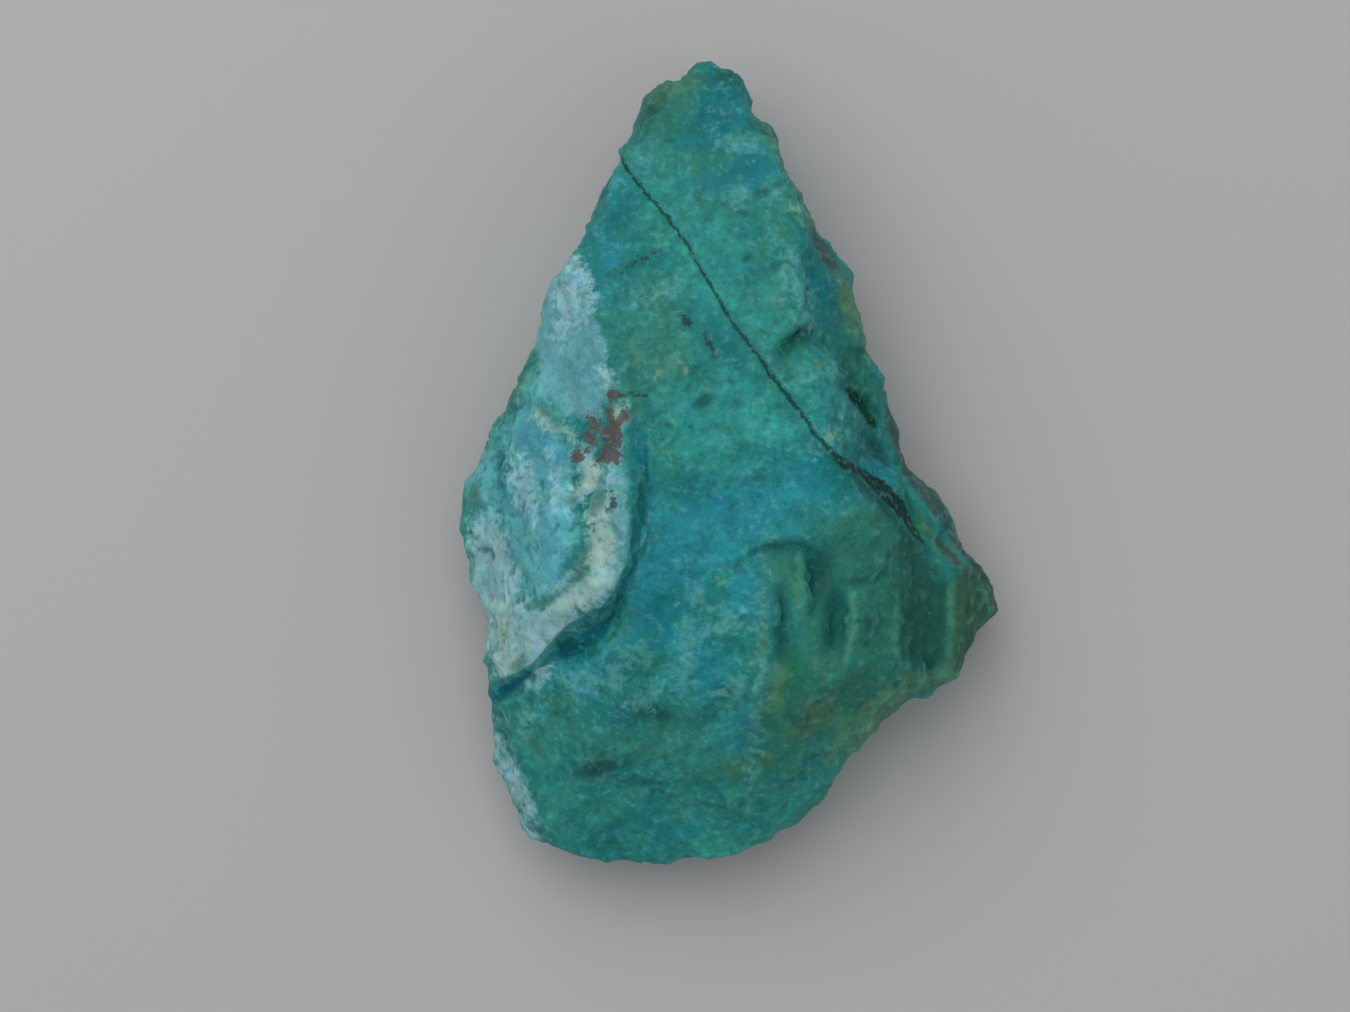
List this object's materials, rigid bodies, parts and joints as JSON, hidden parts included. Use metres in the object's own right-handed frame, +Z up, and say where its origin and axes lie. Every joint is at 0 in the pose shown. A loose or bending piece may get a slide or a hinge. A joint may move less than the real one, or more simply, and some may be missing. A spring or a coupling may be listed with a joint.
{
  "type": "raw chrysocolla",
  "caption": "Rough wedge-shaped piece of blue-green chrysocolla, with a raised pale crust, broken scoops and a dark seam, lying on its back.",
  "frame": {"origin": "bottom centre of the bounding box, in the plane of the flat face that the stone rests on", "axes": "+Y along the stone towards its point, +X towards its right corner, +Z up out of the rest face through the broad front"},
  "size_m": [0.0542, 0.0808, 0.0256],
  "materials": {
    "chrysocolla": "dull to waxy broken stone, blue-green with pale crust and brown seams"
  },
  "bodies": {
    "root": {"chrysocolla": "chrysocolla"}
  },
  "joints": []
}
